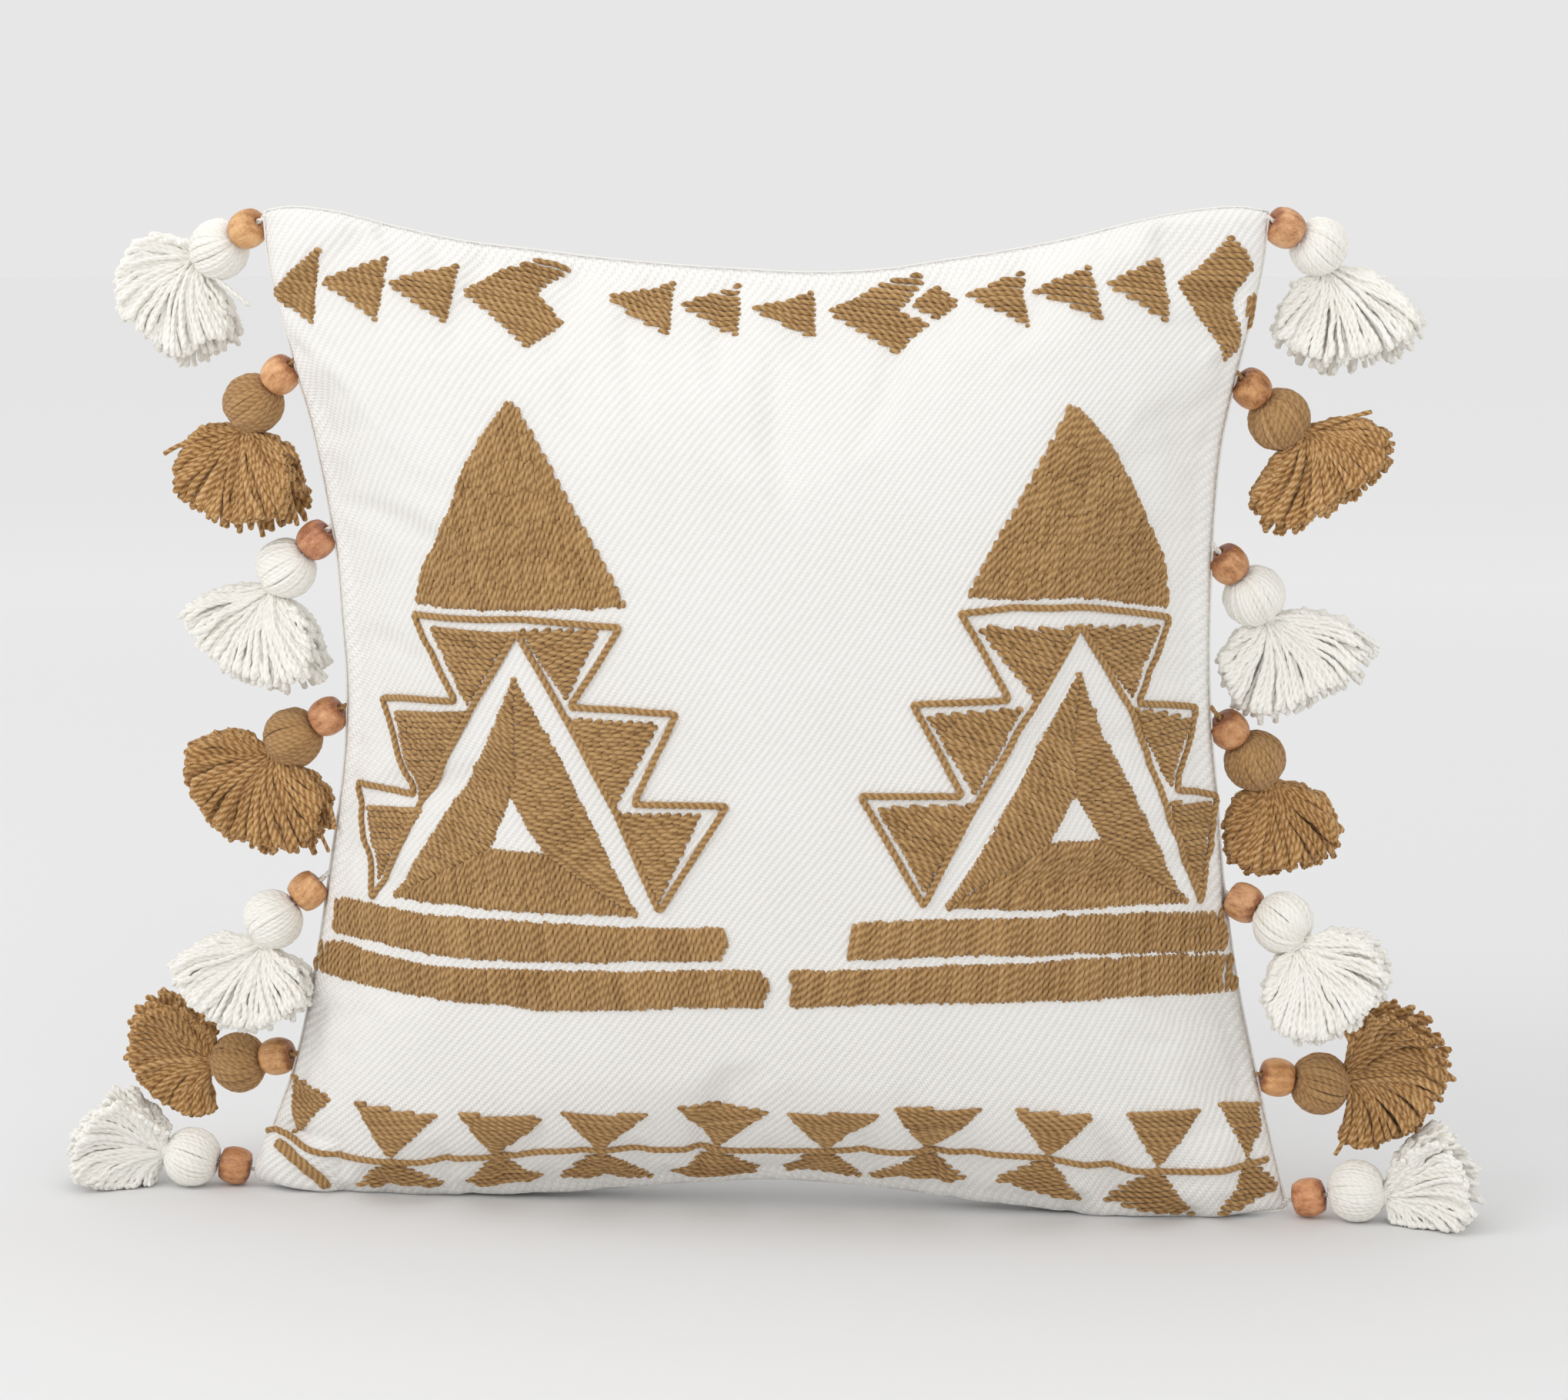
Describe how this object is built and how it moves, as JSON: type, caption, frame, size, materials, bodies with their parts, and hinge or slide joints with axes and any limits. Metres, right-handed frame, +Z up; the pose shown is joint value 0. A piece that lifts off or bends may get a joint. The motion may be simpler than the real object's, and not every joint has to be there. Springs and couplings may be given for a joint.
{
  "type": "throw pillow",
  "caption": "Square throw pillow, off-white woven cover with raised geometric wool embroidery, zipped back, removable insert, and beaded ivory and brown yarn tassels down both side seams.",
  "frame": {"origin": "on the surface the pillow stands on, under the middle of its overall box, tassels included", "axes": "+Z up the pillow from its bottom edge to its top edge; the embroidered front faces -Y and the zipped back +Y; +X is to the right of someone looking at the front"},
  "size_m": [0.6994, 0.1498, 0.48],
  "materials": {
    "cover_cotton": "matte",
    "calico": "matte",
    "polyester_fill": "matte",
    "zip_tape": "matte",
    "nylon_teeth": "satin",
    "nickel": "satin",
    "ivory_yarn": "matte",
    "brown_yarn": "matte",
    "bead_wood_light": "satin",
    "bead_wood_red": "satin"
  },
  "bodies": {
    "cushion": {"front_panel": "cover_cotton", "back_panel_upper": "cover_cotton", "back_panel_lower": "cover_cotton", "insert_case_front": "calico", "insert_case_back": "calico", "insert_fill": "polyester_fill", "zip_tape_upper": "zip_tape", "zip_tape_lower": "zip_tape", "zip_teeth_upper": "nylon_teeth", "zip_teeth_lower": "nylon_teeth", "zip_stop_closed": "nickel", "zip_stop_open": "nickel"},
    "zip_slider": {"zip_slider": "nickel"},
    "zip_pull_tab": {"zip_pull_tab": "nickel"},
    "tassel_l1": {"tassel_l1_head": "ivory_yarn"},
    "tassel_l1_bead": {"tassel_l1_bead": "bead_wood_light"},
    "tassel_l1_skirt": {"tassel_l1_skirt": "ivory_yarn"},
    "tassel_l2": {"tassel_l2_head": "brown_yarn"},
    "tassel_l2_bead": {"tassel_l2_bead": "bead_wood_red"},
    "tassel_l2_skirt": {"tassel_l2_skirt": "brown_yarn"},
    "tassel_l3": {"tassel_l3_head": "ivory_yarn"},
    "tassel_l3_bead": {"tassel_l3_bead": "bead_wood_red"},
    "tassel_l3_skirt": {"tassel_l3_skirt": "ivory_yarn"},
    "tassel_l4": {"tassel_l4_head": "brown_yarn"},
    "tassel_l4_bead": {"tassel_l4_bead": "bead_wood_light"},
    "tassel_l4_skirt": {"tassel_l4_skirt": "brown_yarn"},
    "tassel_l5": {"tassel_l5_head": "ivory_yarn"},
    "tassel_l5_bead": {"tassel_l5_bead": "bead_wood_red"},
    "tassel_l5_skirt": {"tassel_l5_skirt": "ivory_yarn"},
    "tassel_l6": {"tassel_l6_head": "brown_yarn"},
    "tassel_l6_bead": {"tassel_l6_bead": "bead_wood_red"},
    "tassel_l6_skirt": {"tassel_l6_skirt": "brown_yarn"},
    "tassel_l7": {"tassel_l7_head": "ivory_yarn"},
    "tassel_l7_bead": {"tassel_l7_bead": "bead_wood_light"},
    "tassel_l7_skirt": {"tassel_l7_skirt": "ivory_yarn"},
    "tassel_r1": {"tassel_r1_head": "ivory_yarn"},
    "tassel_r1_bead": {"tassel_r1_bead": "bead_wood_light"},
    "tassel_r1_skirt": {"tassel_r1_skirt": "ivory_yarn"},
    "tassel_r2": {"tassel_r2_head": "brown_yarn"},
    "tassel_r2_bead": {"tassel_r2_bead": "bead_wood_red"},
    "tassel_r2_skirt": {"tassel_r2_skirt": "brown_yarn"},
    "tassel_r3": {"tassel_r3_head": "ivory_yarn"},
    "tassel_r3_bead": {"tassel_r3_bead": "bead_wood_red"},
    "tassel_r3_skirt": {"tassel_r3_skirt": "ivory_yarn"},
    "tassel_r4": {"tassel_r4_head": "brown_yarn"},
    "tassel_r4_bead": {"tassel_r4_bead": "bead_wood_light"},
    "tassel_r4_skirt": {"tassel_r4_skirt": "brown_yarn"},
    "tassel_r5": {"tassel_r5_head": "ivory_yarn"},
    "tassel_r5_bead": {"tassel_r5_bead": "bead_wood_red"},
    "tassel_r5_skirt": {"tassel_r5_skirt": "ivory_yarn"},
    "tassel_r6": {"tassel_r6_head": "brown_yarn"},
    "tassel_r6_bead": {"tassel_r6_bead": "bead_wood_red"},
    "tassel_r6_skirt": {"tassel_r6_skirt": "brown_yarn"},
    "tassel_r7": {"tassel_r7_head": "ivory_yarn"},
    "tassel_r7_bead": {"tassel_r7_bead": "bead_wood_light"},
    "tassel_r7_skirt": {"tassel_r7_skirt": "ivory_yarn"}
  },
  "joints": [
    {"name": "back_zip_slider_travel", "type": "hinge", "parent": "cushion", "child": "zip_slider", "pos_m": [-0.00185, -0.76657, 0.096], "axis": [0, 0, 1], "range_deg": [0, 18]},
    {"name": "back_zip_tab_flip", "type": "hinge", "parent": "zip_slider", "child": "zip_pull_tab", "pos_m": [0.13458, 0.05549, 0.096], "axis": [-0.0274, -0.1653, -0.9859], "range_deg": [0, 170]},
    {"name": "cord_l1_swing", "type": "hinge", "parent": "cushion", "child": "tassel_l1", "pos_m": [-0.24058, 0, 0.475], "axis": [0, 0, 1], "range_deg": [-60, 60]},
    {"name": "cord_l2_swing", "type": "hinge", "parent": "cushion", "child": "tassel_l2", "pos_m": [-0.22722, 0, 0.407], "axis": [0, 0, 1], "range_deg": [-25, 60]},
    {"name": "cord_l3_swing", "type": "hinge", "parent": "cushion", "child": "tassel_l3", "pos_m": [-0.2098, 0, 0.328], "axis": [0, 0, 1], "range_deg": [-30, 60]},
    {"name": "cord_l4_swing", "type": "hinge", "parent": "cushion", "child": "tassel_l4", "pos_m": [-0.20531, 0, 0.24], "axis": [0, 0, 1], "range_deg": [-45, 60]},
    {"name": "cord_l5_swing", "type": "hinge", "parent": "cushion", "child": "tassel_l5", "pos_m": [-0.21409, 0, 0.158], "axis": [0, 0, 1], "range_deg": [-55, 25]},
    {"name": "cord_l6_swing", "type": "hinge", "parent": "cushion", "child": "tassel_l6", "pos_m": [-0.2319, 0, 0.067], "axis": [0, 0, 1], "range_deg": [-35, 0]},
    {"name": "cord_l7_swing", "type": "hinge", "parent": "cushion", "child": "tassel_l7", "pos_m": [-0.25236, 0, 0.0075], "axis": [0, 0, 1], "range_deg": [0, 60]},
    {"name": "cord_r1_swing", "type": "hinge", "parent": "cushion", "child": "tassel_r1", "pos_m": [0.23488, 0, 0.475], "axis": [0, 0, -1], "range_deg": [-15, 60]},
    {"name": "cord_r2_swing", "type": "hinge", "parent": "cushion", "child": "tassel_r2", "pos_m": [0.22205, 0, 0.403], "axis": [0, 0, -1], "range_deg": [-25, 60]},
    {"name": "cord_r3_swing", "type": "hinge", "parent": "cushion", "child": "tassel_r3", "pos_m": [0.2117, 0, 0.323], "axis": [0, 0, -1], "range_deg": [-10, 60]},
    {"name": "cord_r4_swing", "type": "hinge", "parent": "cushion", "child": "tassel_r4", "pos_m": [0.21269, 0, 0.245], "axis": [0, 0, -1], "range_deg": [-25, 60]},
    {"name": "cord_r5_swing", "type": "hinge", "parent": "cushion", "child": "tassel_r5", "pos_m": [0.22025, 0, 0.157], "axis": [0, 0, -1], "range_deg": [-55, 5]},
    {"name": "cord_r6_swing", "type": "hinge", "parent": "cushion", "child": "tassel_r6", "pos_m": [0.2365, 0, 0.069], "axis": [0, 0, -1], "range_deg": [-40, 0]},
    {"name": "cord_r7_swing", "type": "hinge", "parent": "cushion", "child": "tassel_r7", "pos_m": [0.2511, 0, 0.0075], "axis": [0, 0, -1], "range_deg": [0, 60]},
    {"name": "neck_l1_sway", "type": "hinge", "parent": "tassel_l1", "child": "tassel_l1_skirt", "pos_m": [-0.27473, 0.01665, 0.44649], "axis": [0, 1, 0], "range_deg": [-10, 10]},
    {"name": "neck_l2_sway", "type": "hinge", "parent": "tassel_l2", "child": "tassel_l2_skirt", "pos_m": [-0.25235, 0.00964, 0.37024], "axis": [0, 1, 0], "range_deg": [-10, 10]},
    {"name": "neck_l3_sway", "type": "hinge", "parent": "tassel_l3", "child": "tassel_l3_skirt", "pos_m": [-0.23898, 0.00569, 0.29139], "axis": [0, 1, 0], "range_deg": [-10, 10]},
    {"name": "neck_l4_sway", "type": "hinge", "parent": "tassel_l4", "child": "tassel_l4_skirt", "pos_m": [-0.23909, 0.00555, 0.2093], "axis": [0, 1, 0], "range_deg": [-10, 10]},
    {"name": "neck_l5_sway", "type": "hinge", "parent": "tassel_l5", "child": "tassel_l5_skirt", "pos_m": [-0.24801, -0.00912, 0.12125], "axis": [0, 1, 0], "range_deg": [-10, 10]},
    {"name": "neck_l6_sway", "type": "hinge", "parent": "tassel_l6", "child": "tassel_l6_skirt", "pos_m": [-0.27898, 0.0085, 0.06078], "axis": [0, 1, 0], "range_deg": [-10, 10]},
    {"name": "neck_l7_sway", "type": "hinge", "parent": "tassel_l7", "child": "tassel_l7_skirt", "pos_m": [-0.29963, -0.00579, 0.01973], "axis": [0, 1, 0], "range_deg": [0, 10]},
    {"name": "neck_r1_sway", "type": "hinge", "parent": "tassel_r1", "child": "tassel_r1_skirt", "pos_m": [0.26502, 0.01724, 0.44633], "axis": [0, -1, 0], "range_deg": [-10, 10]},
    {"name": "neck_r2_sway", "type": "hinge", "parent": "tassel_r2", "child": "tassel_r2_skirt", "pos_m": [0.25005, 0.0149, 0.36798], "axis": [0, -1, 0], "range_deg": [-10, 10]},
    {"name": "neck_r3_sway", "type": "hinge", "parent": "tassel_r3", "child": "tassel_r3_skirt", "pos_m": [0.23752, 0.0145, 0.28316], "axis": [0, -1, 0], "range_deg": [-10, 10]},
    {"name": "neck_r4_sway", "type": "hinge", "parent": "tassel_r4", "child": "tassel_r4_skirt", "pos_m": [0.2386, 0.01484, 0.20423], "axis": [0, -1, 0], "range_deg": [-10, 10]},
    {"name": "neck_r5_sway", "type": "hinge", "parent": "tassel_r5", "child": "tassel_r5_skirt", "pos_m": [0.25463, -0.0149, 0.13149], "axis": [0, -1, 0], "range_deg": [-10, 10]},
    {"name": "neck_r6_sway", "type": "hinge", "parent": "tassel_r6", "child": "tassel_r6_skirt", "pos_m": [0.28247, 0.00964, 0.06517], "axis": [0, -1, 0], "range_deg": [-10, 10]},
    {"name": "neck_r7_sway", "type": "hinge", "parent": "tassel_r7", "child": "tassel_r7_skirt", "pos_m": [0.29963, -0.00597, 0.02], "axis": [0, -1, 0], "range_deg": [0, 10]},
    {"name": "bead_l1_spin", "type": "hinge", "parent": "tassel_l1", "child": "tassel_l1_bead", "pos_m": [-0.24966, 0.00472, 0.46954], "axis": [-0.7831, 0.4067, -0.4705], "continuous": true},
    {"name": "bead_l2_spin", "type": "hinge", "parent": "tassel_l2", "child": "tassel_l2_bead", "pos_m": [-0.23448, 0.00252, 0.39999], "axis": [-0.698, 0.2419, -0.674], "continuous": true},
    {"name": "bead_l3_spin", "type": "hinge", "parent": "tassel_l3", "child": "tassel_l3_bead", "pos_m": [-0.21804, 0.00156, 0.32058], "axis": [-0.7359, 0.1392, -0.6626], "continuous": true},
    {"name": "bead_l4_spin", "type": "hinge", "parent": "tassel_l4", "child": "tassel_l4_bead", "pos_m": [-0.21388, 0.00142, 0.23465], "axis": [-0.8398, 0.1392, -0.5248], "continuous": true},
    {"name": "bead_l5_spin", "type": "hinge", "parent": "tassel_l5", "child": "tassel_l5_bead", "pos_m": [-0.22443, -0.00291, 0.14902], "axis": [-0.7382, -0.2079, -0.6417], "continuous": true},
    {"name": "bead_l6_spin", "type": "hinge", "parent": "tassel_l6", "child": "tassel_l6_bead", "pos_m": [-0.24243, 0.00229, 0.06476], "axis": [-0.9568, 0.2079, -0.2034], "continuous": true},
    {"name": "bead_l7_spin", "type": "hinge", "parent": "tassel_l7", "child": "tassel_l7_bead", "pos_m": [-0.26369, -0.00163, 0.00991], "axis": [-0.9686, -0.1392, 0.2059], "continuous": true},
    {"name": "bead_r1_spin", "type": "hinge", "parent": "tassel_r1", "child": "tassel_r1_bead", "pos_m": [0.24259, 0.00438, 0.47037], "axis": [0.7704, 0.4384, -0.4629], "continuous": true},
    {"name": "bead_r2_spin", "type": "hinge", "parent": "tassel_r2", "child": "tassel_r2_bead", "pos_m": [0.2285, 0.0039, 0.39583], "axis": [0.6204, 0.3746, -0.689], "continuous": true},
    {"name": "bead_r3_spin", "type": "hinge", "parent": "tassel_r3", "child": "tassel_r3_bead", "pos_m": [0.21922, 0.00445, 0.31337], "axis": [0.5785, 0.342, -0.7405], "continuous": true},
    {"name": "bead_r4_spin", "type": "hinge", "parent": "tassel_r4", "child": "tassel_r4_bead", "pos_m": [0.22079, 0.00479, 0.23463], "axis": [0.5785, 0.342, -0.7405], "continuous": true},
    {"name": "bead_r5_spin", "type": "hinge", "parent": "tassel_r5", "child": "tassel_r5_bead", "pos_m": [0.22906, -0.0039, 0.15308], "axis": [0.847, -0.3746, -0.3771], "continuous": true},
    {"name": "bead_r6_spin", "type": "hinge", "parent": "tassel_r6", "child": "tassel_r6_bead", "pos_m": [0.24625, 0.00247, 0.06728], "axis": [0.9556, 0.2419, -0.1685], "continuous": true},
    {"name": "bead_r7_spin", "type": "hinge", "parent": "tassel_r7", "child": "tassel_r7_bead", "pos_m": [0.26243, -0.00163, 0.00991], "axis": [0.9686, -0.1392, 0.2059], "continuous": true}
  ]
}
